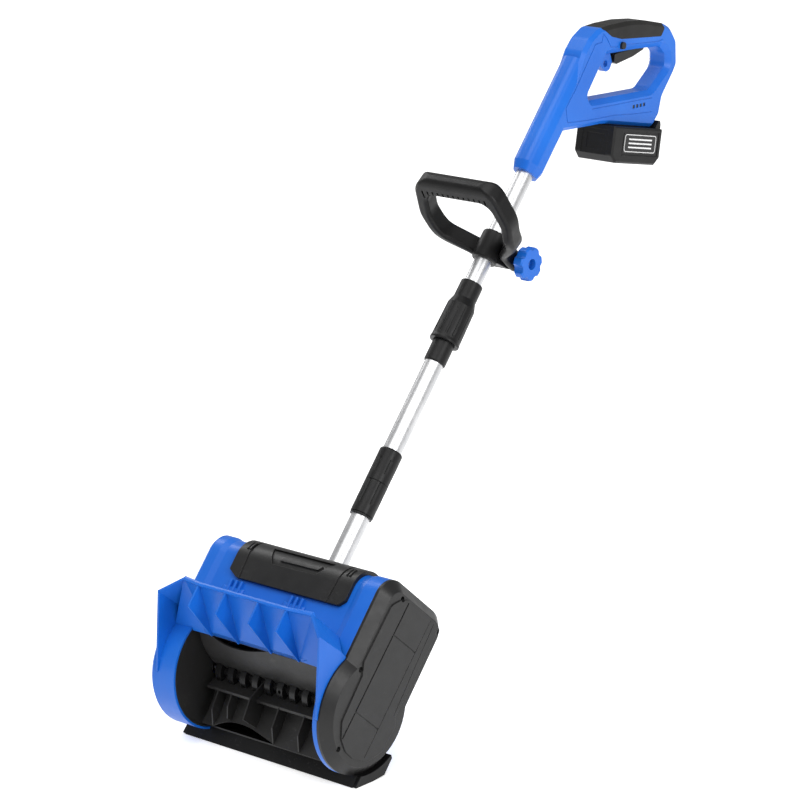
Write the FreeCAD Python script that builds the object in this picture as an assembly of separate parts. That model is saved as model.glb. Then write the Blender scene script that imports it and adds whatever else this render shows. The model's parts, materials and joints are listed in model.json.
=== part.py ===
import FreeCAD, Part
import math
import os
from FreeCAD import Vector

# Cordless snow shovel, millimetres.  X runs across the machine (the drive belt is on +X), Y runs back
# towards the person holding it, Z is up.  The origin is on the ground, straight below the rotor shaft,
# in the plane of the pole.  The machine stands as in use: scraper flat on the ground, pole leaning back.

# ---------------------------------------------------------------- driving dimensions
POLE_ANGLE = 50.0          # pole above the ground, degrees
AXLE_HEIGHT = 94.0         # rotor shaft above the ground
GAP = 0.3                  # air between pieces of different bodies

DRUM_R = 82.0              # rotor drum, outside
BODY_HALF = 72.0           # half depth of the housing above the drum
BODY_TOP = 162.0           # top of the housing, along the pole from the rotor shaft
BODY_CORNER = 30.0         # its top corners
SHELL = 3.0                # housing wall
HEAD_LEFT = -143.0         # blue housing, left end
HEAD_RIGHT = 137.0         # blue housing, seam with the belt cover
END_COVER = 7.0            # thickness of the left end cover
BELT_COVER = 16.0          # thickness of the belt cover
MOUTH = (-108.0, 130.0)    # sides of the rotor chamber
LINER_R = 78.5             # rotor chamber liner, outside
SCRAPER_HALF = 145.0
HOUSING_DIP = 2.5          # the housing between its two end bands lies this much lower
DIP_ENDS = (-131.0, 116.0)
HOOD_EDGE = (-67.0, 232.7)   # front edge of the deflector's brim (Y, Z), between the outer fins
HOOD_CORNER = (110.0, -58.0, 231.0)
HOOD_ROOT = (114.0, -13.5, 190.0)   # where the brim meets the housing
HOOD_LIP = (-44.5, 157.0)    # lower edge of the slanting panel, just outside the rotor's sweep
HOOD_SHOULDER = (138.6, -77.0, 212.0)
HOOD_SIDE_BACK = (138.6, -36.0, 181.0)
HOOD_FOOT = (-83.0, 106.0)
FIN_XS = (-75.0, -28.0, 28.0, 75.0)

ROTOR_R = 74.0
SHAFT_R = 5.0
HUB = (-104.0, 118.0)
RING_PITCH = 21.5
PULLEY_R = 47.7            # 60 tooth rotor pulley
MOTOR_PULLEY_R = 12.7      # 16 tooth motor pulley
BELT_THICK = 2.4
BELT_X = (139.5, 148.5)
MOTOR_AT = (115.0, -20.0)  # motor axis: along the pole, and behind it
MOTOR_R = 28.0

TUBE_R = 13.0              # lower and middle tube, outside
TUBE_WALL = 0.9
INNER_TUBE_R = 11.8        # upper tube, outside
COUPLING = (249.0, 296.0, 343.0)   # lower end, seam, upper end, along the pole
COUPLING_R = 15.9
COLLAR = (476.0, 507.0, 562.0, 573.0, 598.0)
CLAMP = (634.0, 674.0)
BOLT_AT = (655.0, 31.0)    # clamp bolt: along the pole, behind its axis
GRIP_START = 769.0         # lower end of the main handle

HANDLE_HALF = 19.0         # half width of the handle body
BATTERY_TILT = 10.3        # the battery rail slopes down to the back
BATTERY_AT = (651.5, 731.8)   # front end of the rail face (Y, Z)
BATTERY_SIZE = (66.0, 112.5, 50.5)
BATTERY_TOP = -1.5         # top of the battery, below the rail face

os.makedirs("parts", exist_ok=True)
X_AXIS = Vector(1, 0, 0)


# ---------------------------------------------------------------- helpers
def save(name, *shapes):
    """Write one node, as one solid or a group of separate solids."""
    solids = [solid for shape in shapes for solid in shape.Solids]
    body = solids[0] if len(solids) == 1 else Part.makeCompound(solids)
    body.exportStep("parts/" + name + ".step")


def on_pole(shape):
    """Move a shape from the pole's frame (z up the pole from the rotor shaft, y behind it)."""
    placed = shape.copy()
    placed.rotate(Vector(0, 0, 0), X_AXIS, POLE_ANGLE - 90.0)
    placed.translate(Vector(0, 0, AXLE_HEIGHT))
    return placed


def on_battery(shape):
    """Move a shape from the battery rail's frame (y back along the rail, z up from its face)."""
    placed = shape.copy()
    placed.rotate(Vector(0, 0, 0), X_AXIS, -BATTERY_TILT)
    placed.translate(Vector(0, BATTERY_AT[0], BATTERY_AT[1]))
    return placed


def fuse(first, *others):
    return first.fuse(list(others)).removeSplitter() if others else first


def box(x, y, z):
    """A box from three (low, high) pairs."""
    return Part.makeBox(x[1] - x[0], y[1] - y[0], z[1] - z[0], Vector(x[0], y[0], z[0]))


def rod_x(radius, x0, x1, y=0.0, z=0.0):
    return Part.makeCylinder(radius, x1 - x0, Vector(x0, y, z), X_AXIS)


def rod_z(radius, z0, z1, x=0.0, y=0.0):
    return Part.makeCylinder(radius, z1 - z0, Vector(x, y, z0))


def tube_z(outer, inner, z0, z1):
    return rod_z(outer, z0, z1).cut(rod_z(inner, z0 - 1, z1 + 1))


def tube_x(outer, inner, x0, x1, y=0.0, z=0.0):
    return rod_x(outer, x0, x1, y, z).cut(rod_x(inner, x0 - 1, x1 + 1, y, z))


def turned(profile):
    """A solid of revolution about z from (radius, z) points."""
    points = [Vector(r, 0, z) for r, z in profile]
    face = Part.Face(Part.makePolygon(points + points[:1]))
    return face.revolve(Vector(0, 0, 0), Vector(0, 0, 1), 360)


def rounded_wire(points, radii, place):
    """A closed outline with its corners rounded; place turns a 2D point into a Vector."""
    count = len(points)
    if not isinstance(radii, (list, tuple)):
        radii = [radii] * count
    corners = []
    for i in range(count):
        before, here, after = points[i - 1], points[i], points[(i + 1) % count]
        if radii[i] <= 0:
            corners.append((here, here, here))
            continue
        a = (before[0] - here[0], before[1] - here[1])
        b = (after[0] - here[0], after[1] - here[1])
        la, lb = math.hypot(*a), math.hypot(*b)
        a, b = (a[0] / la, a[1] / la), (b[0] / lb, b[1] / lb)
        half = 0.5 * math.acos(max(-1.0, min(1.0, a[0] * b[0] + a[1] * b[1])))
        reach = radii[i] / math.tan(half)
        mid = (a[0] + b[0], a[1] + b[1])
        lm = math.hypot(*mid)
        bulge = radii[i] / math.sin(half) - radii[i]
        corners.append(((here[0] + a[0] * reach, here[1] + a[1] * reach),
                        (here[0] + mid[0] / lm * bulge, here[1] + mid[1] / lm * bulge),
                        (here[0] + b[0] * reach, here[1] + b[1] * reach)))
    edges = []
    for i, (start, middle, end) in enumerate(corners):
        if start != end:
            edges.append(Part.Arc(place(start), place(middle), place(end)).toShape())
        follower = corners[(i + 1) % count][0]
        if math.dist(end, follower) > 1e-6:
            edges.append(Part.LineSegment(place(end), place(follower)).toShape())
    return Part.Wire(edges)


def slab(points, x0, x1, radii=0.0):
    """An outline in (Y, Z) given thickness from x0 to x1."""
    wire = rounded_wire(points, radii, lambda p: Vector(x0, p[0], p[1]))
    return Part.Face(wire).extrude(Vector(x1 - x0, 0, 0))


def chamfered(shape, size, chosen):
    """Chamfer the edges that chosen picks."""
    edges = [edge for edge in shape.Edges if chosen(edge)]
    return shape.makeChamfer(size, edges) if edges else shape


def mirrored(shape):
    return shape.mirror(Vector(0, 0, 0), X_AXIS)


# ---------------------------------------------------------------- rotor head, in the pole's frame
def head_wire(inset, x):
    """Side outline of the head: a drum with a narrower body above it, inset all round."""
    drum, half = DRUM_R - inset, BODY_HALF - inset
    top, corner = BODY_TOP - inset, max(BODY_CORNER - inset, 6.0)
    neck = math.sqrt(drum * drum - half * half)
    side = math.sqrt(0.5)

    def at(y, z):
        return Vector(x, y, z)
    return Part.Wire([
        Part.Arc(at(-half, neck), at(0, -drum), at(half, neck)).toShape(),
        Part.LineSegment(at(half, neck), at(half, top - corner)).toShape(),
        Part.Arc(at(half, top - corner),
                 at(half - corner * (1 - side), top - corner * (1 - side)),
                 at(half - corner, top)).toShape(),
        Part.LineSegment(at(half - corner, top), at(corner - half, top)).toShape(),
        Part.Arc(at(corner - half, top),
                 at(corner * (1 - side) - half, top - corner * (1 - side)),
                 at(-half, top - corner)).toShape(),
        Part.LineSegment(at(-half, top - corner), at(-half, neck)).toShape()])


def head_block(inset, x0, x1):
    return Part.Face(head_wire(inset, x0)).extrude(Vector(x1 - x0, 0, 0))


def head_taper(inset0, x0, inset1, x1):
    return Part.makeLoft([head_wire(inset0, x0), head_wire(inset1, x1)], True, True)


def mouth_cut(x0, x1, floor_y):
    """The open front of the drum, from floor_y at the bottom up to the deflector lip."""
    lip_y, lip_z = HOOD_LIP
    rise = 140.0
    slope = (HOOD_EDGE[0] - lip_y) / (HOOD_EDGE[1] - lip_z)
    return slab([(0, AXLE_HEIGHT), HOOD_LIP, (lip_y + slope * rise, lip_z + rise), (-220, lip_z + rise),
                 (-220, -30), (floor_y, -30)], x0, x1)


bearing_seat_r = 13.0
socket_hole = rod_z(20.3, BODY_TOP - 20, BODY_TOP + 20)
motor_shaft_hole = rod_x(9.0, HEAD_RIGHT - 10, HEAD_RIGHT + 2, MOTOR_AT[1], MOTOR_AT[0])


def dip(inset, widen):
    """What the low middle of the housing takes off its front and top, with slanting ends."""
    left, right = DIP_ENDS[0] - widen, DIP_ENDS[1] + widen
    low = inset + HOUSING_DIP
    ends = [head_taper(inset, left, low, left + 10), head_taper(low, right - 10, inset, right)]
    gone = head_block(inset, left, right).cut([head_block(low, left, right)] + ends)
    return gone.common(box((-200, 200), (-120, 34), (58 - widen, 200)))


outside = head_block(0, HEAD_LEFT, HEAD_RIGHT).cut(dip(0, 0))
inside = head_block(SHELL, HEAD_LEFT + SHELL, HEAD_RIGHT - SHELL).cut(dip(SHELL, 1.5))
shell = outside.cut([inside, rod_x(bearing_seat_r, HEAD_LEFT - 1, HEAD_RIGHT + 1), socket_hole,
                     motor_shaft_hole])
housing = on_pole(shell).cut(mouth_cut(*MOUTH, -12.0))
save("housing_shell", housing)

# chamber liner: a dark drum inside, closed at both ends round the shaft
liner = tube_x(LINER_R, LINER_R - 2.0, HEAD_LEFT + SHELL + 0.2, HEAD_RIGHT - SHELL - 0.2)
liner = on_pole(liner).cut(mouth_cut(MOUTH[0] - 0.01, MOUTH[1] + 0.01, -24.0))
walls = [tube_x(LINER_R, 9.0, MOUTH[0] - 3.5, MOUTH[0] - 1.0, 0, AXLE_HEIGHT),
         tube_x(LINER_R, bearing_seat_r + 0.2, MOUTH[1] + 0.5, MOUTH[1] + 3.0, 0, AXLE_HEIGHT)]
liner = fuse(liner, *walls)
save("chamber_liner", liner)

# left end cover, a shallow dished plate
left_cover = head_taper(3.0, HEAD_LEFT - END_COVER, 0.0, HEAD_LEFT - 3.0)
left_cover = fuse(left_cover, head_block(0, HEAD_LEFT - 3.0, HEAD_LEFT))
left_cover = left_cover.cut(head_block(4.0, HEAD_LEFT - 3.5, HEAD_LEFT + 1))
save("left_end_cover", on_pole(left_cover))

# belt cover: a bevelled shell with a raised panel and screw recesses
cover_lip = HEAD_RIGHT + 4.0
cover_face = HEAD_RIGHT + BELT_COVER
cover_bevel = 13.0
belt_cover = fuse(head_block(0, HEAD_RIGHT, cover_lip), head_taper(0, cover_lip, cover_bevel, cover_face))
cavity = fuse(head_block(SHELL, HEAD_RIGHT - 1, cover_lip),
              head_taper(SHELL, cover_lip, cover_bevel + 1.5, cover_face - SHELL))
belt_cover = belt_cover.cut(cavity)
panel_points = [(-27, 147), (38, 147), (51, 136), (48, 16), (56, 7), (54, -29), (34, -53), (6, -60),
                (-12, -59),
                (-30, -50), (-44, -31), (-46, 31), (-55, 47), (-52.5, 128), (-40, 141)]
panel = slab(panel_points, cover_face - 0.5, cover_face + 1.5,
             [2, 6, 6, 4, 4, 14, 16, 20, 20, 16, 12, 6, 6, 14, 8])


def face_groove(start, end, width, depth):
    """A straight groove from start to end (points across and along the pole) in the cover's panel."""
    length = math.dist(start, end)
    across = (-(end[1] - start[1]) / length * width / 2, (end[0] - start[0]) / length * width / 2)
    corners = [(start[0] + across[0], start[1] + across[1]), (end[0] + across[0], end[1] + across[1]),
               (end[0] - across[0], end[1] - across[1]), (start[0] - across[0], start[1] - across[1])]
    return slab(corners, cover_face + 1.5 - depth, cover_face + 5)


grooves = [face_groove((-25, 144), (-29.7, -48), 2.6, 1.3), face_groove((29.4, 145), (25.6, -50), 0.9, 0.8),
           face_groove((-26, 98.5), (28, 98.5), 1.8, 1.0),
           face_groove((-29.5, -10.5), (25.6, -10.5), 1.8, 1.0),
           face_groove((38, 144), (43.5, 16), 0.9, 0.8)]
belt_cover = fuse(belt_cover, panel.cut(grooves))
screw_spots = [(-38, 143), (-53, 37), (-26, -61), (56, 141)]
bosses = [rod_x(5.5, HEAD_RIGHT + 0.2, cover_face - 3.2, y, z) for y, z in screw_spots]
recesses = [rod_x(3.6, cover_face - 7.0, cover_face + 5, y, z) for y, z in screw_spots]
drillings = [rod_x(1.9, HEAD_RIGHT, cover_face, y, z) for y, z in screw_spots]
belt_cover = fuse(belt_cover, *bosses).cut(recesses + drillings)
save("belt_cover", on_pole(belt_cover))


def screw_x(x_head, y, z, length, head_r=3.2, core_r=1.8, head=2.2, toward=1):
    """A pan head screw along X with its head end at x_head, pointing inwards."""
    head_low = x_head - head if toward > 0 else x_head
    shank = (x_head - head - length, x_head - head + 0.5) if toward > 0 else (x_head + head - 0.5,
                                                                               x_head + head + length)
    body = rod_x(head_r, head_low, head_low + head, y, z).fuse(rod_x(core_r, shank[0], shank[1], y, z))
    slot_low = x_head - 0.9 if toward > 0 else x_head - 0.1
    cross = [box((slot_low, slot_low + 1.0), (y - 0.45, y + 0.45), (z - 2, z + 2)),
             box((slot_low, slot_low + 1.0), (y - 2, y + 2), (z - 0.45, z + 0.45))]
    return body.removeSplitter().cut(cross)


cover_screws = [screw_x(cover_face - 4.8, y, z, 7.0) for y, z in screw_spots]
save("belt_cover_screws", *[on_pole(screw) for screw in cover_screws])

# motor cover: wraps over the top front corner of the housing
MOTOR_COVER_HALF = 100.0
cover_rise = 3.0
outer = head_block(-cover_rise, -MOTOR_COVER_HALF, MOTOR_COVER_HALF)
outer = outer.cut(head_block(HOUSING_DIP, -MOTOR_COVER_HALF - 1, MOTOR_COVER_HALF + 1))
wrap_points = [(-98, 111), (-82, 102.5), (92, 102.5), (MOTOR_COVER_HALF, 111), (MOTOR_COVER_HALF, 180),
               (-98, 180)]
wrap = Part.Face(rounded_wire(wrap_points, [4, 6, 6, 4, 0, 0], lambda p: Vector(p[0], -90, p[1])))
motor_cover = outer.common(wrap.extrude(Vector(0, 70, 0)))


def cover_band(depth, points):
    """The outermost layer of the motor cover, that deep, inside an outline (across, up the pole)."""
    layer = head_block(-cover_rise - 1, -99, 99).cut(head_block(depth - cover_rise, -101, 101))
    face = Part.Face(rounded_wire(points, 0.0, lambda p: Vector(p[0], -90, p[1])))
    return layer.common(face.extrude(Vector(0, 62, 0)))


recess = cover_band(2.0, [(-36, 132), (38, 133), (54, 156), (-51, 155)])
bar = cover_band(3.0, [(-27, 139), (37, 140), (41, 146.5), (-25, 145.5)])
end_grooves = [cover_band(1.4, [(x, 100), (x + 3, 100), (x + 3 + lean, 163), (x + lean, 163)])
               for x, lean in ((-77.5, -4), (71.5, 4))]
motor_cover = motor_cover.cut([recess.cut(bar)] + end_grooves)
ridges = [head_block(-cover_rise - 1.6, x, x + 2.5).cut(head_block(-cover_rise + 0.5, x - 1, x + 4)).common(
    box((-100, 100), (-90, -40), (144, 156))) for x in (-88, -83, 82, 87)]
motor_cover = on_pole(fuse(motor_cover, *ridges))
save("motor_cover", motor_cover)

# pole socket in the top of the housing, and the tube in it
socket = turned([(TUBE_R, 84), (20, 84), (20, 168), (18, 173), (TUBE_R, 173)])
rib_top = BODY_TOP - SHELL - HOUSING_DIP - 0.2
ribs = [box((17, 40), (-2, 2), (100, rib_top)), box((-40, -17), (-2, 2), (100, rib_top))]
socket = fuse(socket, *ribs)
save("pole_socket", on_pole(socket.cut(rod_z(TUBE_R, 80, 180))))
save("lower_tube", on_pole(tube_z(TUBE_R, TUBE_R - TUBE_WALL, 86, COUPLING[1] - 1.0)))

# motor: can, end plate, shaft and armature
my, mz = MOTOR_AT[1], MOTOR_AT[0]
can = rod_x(MOTOR_R, 42, 122, my, mz).cut(rod_x(MOTOR_R - 3, 45, 119, my, mz))
can = can.cut(rod_x(3.17, 40, 130, my, mz))
vents = [rod_x(3.0, 118, 123, my + 18 * math.cos(a), mz + 18 * math.sin(a))
         for a in [math.radians(60 * i) for i in range(6)]]
save("motor_can", on_pole(can.cut(vents)))
mount = slab([(my - 34, mz - 24), (my + 34, mz - 24), (my + 34, mz + 34), (my - 34, mz + 34)], 122, 124.5, 6)
mount = fuse(mount, *[rod_x(4, 124.5, HEAD_RIGHT - SHELL, y, z) for y, z in
                      ((my - 28, mz - 16), (my + 28, mz - 16), (my + 28, mz + 28), (my - 28, mz + 28))])
save("motor_mount", on_pole(mount.cut(rod_x(10, 120, 126, my, mz))))
armature = fuse(rod_x(3.1, 44, 149.4, my, mz), rod_x(20, 55, 108, my, mz), rod_x(9, 110, 117, my, mz))
save("motor_shaft", on_pole(armature))


def pulley(radius, teeth, bore, y, z):
    """A toothed pulley with a low boss on each side."""
    x0, x1 = BELT_X
    wheel = rod_x(radius - GAP, x0, x1, y, z)
    notch = [rod_x(0.8, x0 - 1, x1 + 1, y + (radius - GAP) * math.cos(a), z + (radius - GAP) * math.sin(a))
             for a in [2 * math.pi * i / teeth for i in range(teeth)]]
    wheel = wheel.cut(notch)
    return fuse(wheel, rod_x(radius - 2.5, x0 - 1.2, x0, y, z), rod_x(radius - 2.5, x1, x1 + 0.8, y, z)).cut(
        rod_x(bore, x0 - 3, x1 + 3, y, z))


save("motor_pulley", on_pole(pulley(MOTOR_PULLEY_R, 16, 3.1, my, mz)))

# drive belt: open loop round both pulleys
span = math.hypot(my, mz)
lean = math.atan2(my, mz)
spread = math.asin((PULLEY_R - MOTOR_PULLEY_R) / span)


def belt_wire(extra):
    big, small = PULLEY_R + extra, MOTOR_PULLEY_R + extra

    def rim(radius, centre, angle):
        return Vector(BELT_X[0], centre[0] + radius * math.sin(angle), centre[1] + radius * math.cos(angle))
    left, right = lean - (math.pi / 2 - spread), lean + (math.pi / 2 - spread)
    a, b = rim(big, (0, 0), left), rim(big, (0, 0), right)
    c, d = rim(small, (my, mz), right), rim(small, (my, mz), left)
    return Part.Wire([Part.Arc(a, rim(big, (0, 0), lean + math.pi), b).toShape(),
                      Part.LineSegment(b, c).toShape(),
                      Part.Arc(c, rim(small, (my, mz), lean), d).toShape(),
                      Part.LineSegment(d, a).toShape()])


belt_width = Vector(BELT_X[1] - BELT_X[0] - 1.0, 0, 0)
belt = Part.Face(belt_wire(BELT_THICK)).extrude(belt_width).cut(Part.Face(belt_wire(0.0)).extrude(belt_width))
belt.translate(Vector(0.5, 0, 0))
save("drive_belt", on_pole(belt))

# ---------------------------------------------------------------- snow deflector, in the machine's frame
wall = 3.0


def plate(points, thickness):
    """A flat plate with corners at points, thickened along a vector."""
    corners = [Vector(*p) for p in points]
    return Part.Face(Part.makePolygon(corners + corners[:1])).extrude(thickness)


def facing(a, b, c):
    """The unit normal of the plane through three points."""
    a, b, c = Vector(*a), Vector(*b), Vector(*c)
    return (b - a).cross(c - a).normalize()


edge_y, edge_z = HOOD_EDGE
lip_y, lip_z = HOOD_LIP
edge_half = max(FIN_XS)
root_y, root_z = HOOD_ROOT[1:]
under = Vector(0, -0.64 * wall, -0.77 * wall)
brim = plate([(-edge_half, edge_y, edge_z), (edge_half, edge_y, edge_z),
              (edge_half, root_y + 3, root_z - 2.5),
              (-edge_half, root_y + 3, root_z - 2.5)], under)
brim_side = plate([(edge_half - 0.5, edge_y, edge_z), HOOD_CORNER, HOOD_ROOT], under)
brim_side = fuse(brim_side, plate([(edge_half - 0.5, edge_y, edge_z), HOOD_ROOT,
                                   (edge_half - 0.5, root_y, root_z)], under))
inward = Vector(0, wall, 1.2)
slant = plate([(-edge_half, lip_y, lip_z), (edge_half, lip_y, lip_z),
               (edge_half, edge_y, edge_z - 0.5), (-edge_half, edge_y, edge_z - 0.5)], inward)
# the shoulder is a flat facet between the brim and the side wall
facet = facing(HOOD_CORNER, HOOD_SHOULDER, HOOD_SIDE_BACK)
shoulder = plate([HOOD_CORNER, HOOD_SHOULDER, HOOD_SIDE_BACK], facet * -wall)
facet_back = facing(HOOD_CORNER, HOOD_SIDE_BACK, HOOD_ROOT)
shoulder_back = plate([HOOD_CORNER, HOOD_SIDE_BACK, HOOD_ROOT], facet_back * -wall)
slant_side = plate([(edge_half - 0.5, lip_y, lip_z), (edge_half - 0.5, edge_y, edge_z - 0.5), HOOD_CORNER],
                   inward)
slant_low = plate([(edge_half - 0.5, lip_y, lip_z), HOOD_CORNER, (HOOD_SHOULDER[0] - 1, lip_y - 3, lip_z)],
                  inward)
side = slab([HOOD_SHOULDER[1:], HOOD_FOOT, (-60, 80), (-20, 140), (-16, 160), HOOD_SIDE_BACK[1:]],
            HOOD_SHOULDER[0] - wall, HOOD_SHOULDER[0])
fin = slab([(edge_y, edge_z - 1), (edge_y - 20, edge_z - 26), (lip_y - 1, lip_z - 1), (lip_y + 2, lip_z)],
           -1.2, 1.2)
fins = [fin.translated(Vector(x, 0, 0)) for x in FIN_XS]
# two ribbed tabs and a small catch hold the deflector to the front of the housing
face_v = HOUSING_DIP - BODY_HALF
tabs = []
for x0, x1 in ((-98, -63), (7, 42)):
    tab = box((x0, x1), (face_v - 3.0, face_v), (60, 90))
    ribs = [box((x, x + 3), (face_v - 4.5, face_v), (60, 99)) for x in (x0 + 9, x0 + 18, x0 + 27)]
    tab = tab.makeChamfer(2.0, [edge for edge in tab.Edges if edge.BoundBox.YMax < face_v - 2.9])
    tabs.append(on_pole(fuse(tab, *ribs)))
tabs.append(on_pole(box((-34, -14), (face_v - 3.0, face_v), (60, 84))))
one_side = [brim_side, shoulder, shoulder_back, slant_side, slant_low, side]
deflector = fuse(brim, slant, *one_side, *[mirrored(part) for part in one_side], *fins, *tabs)
beside_mouth = [head_block(0, HEAD_LEFT - 20, MOUTH[0] + 1), head_block(0, MOUTH[1] - 1, HEAD_RIGHT + 20)]
deflector = deflector.cut([on_pole(block) for block in beside_mouth] + [housing, liner, motor_cover])
deflector = max(deflector.Solids, key=lambda solid: solid.Volume)
save("snow_deflector", deflector)

# ---------------------------------------------------------------- scraper, in the machine's frame
drum_below = rod_x(DRUM_R + 0.1, -200, 200, 0, AXLE_HEIGHT)
beside = [rod_x(DRUM_R + 0.1, -200, MOUTH[0], 0, AXLE_HEIGHT),
          rod_x(DRUM_R + 0.1, MOUTH[1], 200, 0, AXLE_HEIGHT)]
blade = slab([(-25, 0), (-18.2, 0), (-9.9, 13.2), (-11.4, 17.0), (-15, 17.0)], -SCRAPER_HALF, SCRAPER_HALF)
blade = blade.cut(beside + [housing, rod_x(LINER_R + 0.1, -200, 200, 0, AXLE_HEIGHT)])
blade = max(blade.Solids, key=lambda solid: solid.Volume)
save("scraper_blade", blade)
base_points = [(-18, 0), (10, 0), (31, 2), (46, 19), (44, 27), (-9.5, 13.5)]
scraper_base = slab(base_points, -SCRAPER_HALF, SCRAPER_HALF).cut([drum_below, blade])
save("scraper_base", max(scraper_base.Solids, key=lambda solid: solid.Volume))
shoe_points = [(-25, 0), (10, 0), (31, 2), (46, 20), (44, 27), (-10, 17)]
shoe = slab(shoe_points, SCRAPER_HALF, SCRAPER_HALF + 5, [1, 0, 2, 2, 2, 2]).cut(drum_below)
save("skid_shoes", shoe, mirrored(shoe))

# ---------------------------------------------------------------- rotor, in the machine's frame
save("rotor_shaft", rod_x(SHAFT_R, HEAD_LEFT + 0.5, BELT_X[1] + 0.8, 0, AXLE_HEIGHT))
bearing_xs = (HEAD_LEFT - 0.5, HEAD_RIGHT - SHELL - 3.5)
bearings = [tube_x(bearing_seat_r, SHAFT_R + 0.05, x, x + 5, 0, AXLE_HEIGHT) for x in bearing_xs]
save("rotor_bearings", *bearings)
hub = rod_x(9.0, HUB[0], HUB[1], 0, AXLE_HEIGHT)
ring_xs = [-97.0 + RING_PITCH * i for i in range(10)]
rings = [rod_x(17.0, x, x + 9.5, 0, AXLE_HEIGHT) for x in ring_xs]
set_screw = Part.makeCylinder(2.4, 30, Vector(ring_xs[5] + 4.7, -30, AXLE_HEIGHT), Vector(0, 1, 0))
hub = fuse(hub, *rings).cut([rod_x(SHAFT_R, HUB[0] - 5, HUB[1] + 5, 0, AXLE_HEIGHT), set_screw])
save("rotor_hub", hub)


def polar(radius, degrees):
    """A point (Y, Z) round the rotor shaft; angle 0 is +Y."""
    a = math.radians(degrees)
    return (radius * math.cos(a), AXLE_HEIGHT + radius * math.sin(a))


def paddle():
    """A scoop along the rotor: a hollowed blade with a wavy edge, a ledge along the hub and five gussets."""
    x0, x1 = HUB[0] + 1, HUB[1] - 2

    def arc(a, b, c):
        return Part.Arc(*[Vector(x0, *polar(*p)) for p in (a, b, c)]).toShape()
    front = arc((8.5, 240), (43, 247), (ROTOR_R, 240))
    back = arc((8.5, 256), (43, 250.4), (ROTOR_R, 242))
    ends = [Part.LineSegment(Vector(x0, *polar(r, a)), Vector(x0, *polar(r, b))).toShape()
            for r, a, b in ((8.5, 240, 256), (ROTOR_R, 240, 242))]
    section = Part.Face(Part.Wire(Part.__sortEdges__([front, ends[0], back, ends[1]])))
    body = section.extrude(Vector(x1 - x0, 0, 0))
    edge = [(-98, 80), (-88, 76), (-79, 70), (-68, 64.5), (-45, 61), (-20, 63), (2, 68), (26, 74), (40, 80)]
    tip = Vector(0, math.cos(math.radians(241)), math.sin(math.radians(241)))
    normal = Vector(0, -tip.z, tip.y)
    points = [Vector(x, 0, AXLE_HEIGHT) + tip * r - normal * 40 for x, r in edge]
    curve = Part.BSplineCurve()
    curve.interpolate(points)
    far = [points[-1] + tip * 20, points[0] + tip * 20]
    wave = Part.Wire([curve.toShape(), Part.makeLine(points[-1], far[0]), Part.makeLine(far[0], far[1]),
                      Part.makeLine(far[1], points[0])])
    body = body.cut(Part.Face(wave).extrude(normal * 80))
    ledge = slab([polar(30, 212), polar(9, 236), polar(12, 252), polar(32, 217)], x0, x1)
    narrow = [polar(30, 213), polar(56, 226), polar(72.5, 239), polar(72.5, 241), polar(42, 248),
              polar(12, 250)]
    short = [polar(30, 214), polar(47, 224), polar(60, 235), polar(60, 244), polar(42, 248), polar(12, 250)]
    tall = [polar(10, 144), polar(39, 196), polar(62, 215), polar(60, 244), polar(42, 248), polar(9, 250)]
    gussets = [slab(outline, x - 1.0, x + 1.0) for outline, x in
               ((narrow, -83.0), (short, -60.0), (tall, ring_xs[4] - 6.0), (narrow, 22.0), (narrow, 66.0))]
    return fuse(body, ledge, *gussets).cut(hub)


front_paddle = paddle()
save("front_paddle", front_paddle)
for name, turn in (("rear_paddle", 120), ("upper_paddle", 240)):
    other = front_paddle.copy()
    other.rotate(Vector(0, 0, AXLE_HEIGHT), X_AXIS, turn)
    save(name, other)
disc = tube_x(64.0, SHAFT_R, HUB[1] + 0.2, HUB[1] + 3.0, 0, AXLE_HEIGHT)
save("rotor_end_disc", fuse(disc, tube_x(13, SHAFT_R, HUB[1] + 3.0, HUB[1] + 8, 0, AXLE_HEIGHT)))
rotor_pulley = pulley(PULLEY_R, 60, SHAFT_R, 0, 0)
windows = [rod_x(9.0, 130, 160, 28 * math.cos(a), 28 * math.sin(a))
           for a in [math.radians(72 * i) for i in range(5)]]
save("rotor_pulley", on_pole(rotor_pulley.cut(windows)))

# ---------------------------------------------------------------- pole joints, in the pole's frame
low, seam, high = COUPLING
save("coupling_socket", on_pole(turned([(TUBE_R, low - 3), (15.4, low - 3), (15.4, low - 0.5),
                                        (14.2, low - 0.5),
                                        (14.2, seam - 0.4), (TUBE_R, seam - 0.4)])))
nut = tube_z(COUPLING_R, 14.2 + GAP, low, seam - 0.5)
flats = [rod_z(3.0, low + 14, seam, 17.7 * math.cos(a), 17.7 * math.sin(a))
         for a in [math.radians(30 + 60 * i) for i in range(6)]]
save("coupling_nut", on_pole(nut.cut(flats)))
plug = turned([(TUBE_R - TUBE_WALL - 0.15, low + 2), (TUBE_R - TUBE_WALL - 0.15, seam), (COUPLING_R, seam),
               (COUPLING_R, high - 2), (COUPLING_R - 1.5, high), (TUBE_R, high), (TUBE_R, seam + 4),
               (9.2, seam + 4),
               (9.2, low + 2)])
plug_flats = [rod_z(3.0, seam + 12, high - 15, 17.7 * math.cos(a), 17.7 * math.sin(a))
              for a in [math.radians(30 + 60 * i) for i in range(6)]]
save("coupling_plug", on_pole(plug.cut(plug_flats)))
save("plug_terminal", on_pole(rod_z(9.2, low + 3, low + 18).cut(
    [rod_z(1.5, low, low + 12, 4 * s, 0) for s in (-1, 1)])))
save("socket_terminal", on_pole(fuse(rod_z(TUBE_R - TUBE_WALL, low - 12, low - 4),
                                     *[rod_z(1.1, low - 4, low + 8, 4 * s, 0) for s in (-1, 1)])))
save("middle_tube", on_pole(tube_z(TUBE_R, TUBE_R - TUBE_WALL, seam + 4.2, 548)))

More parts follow.
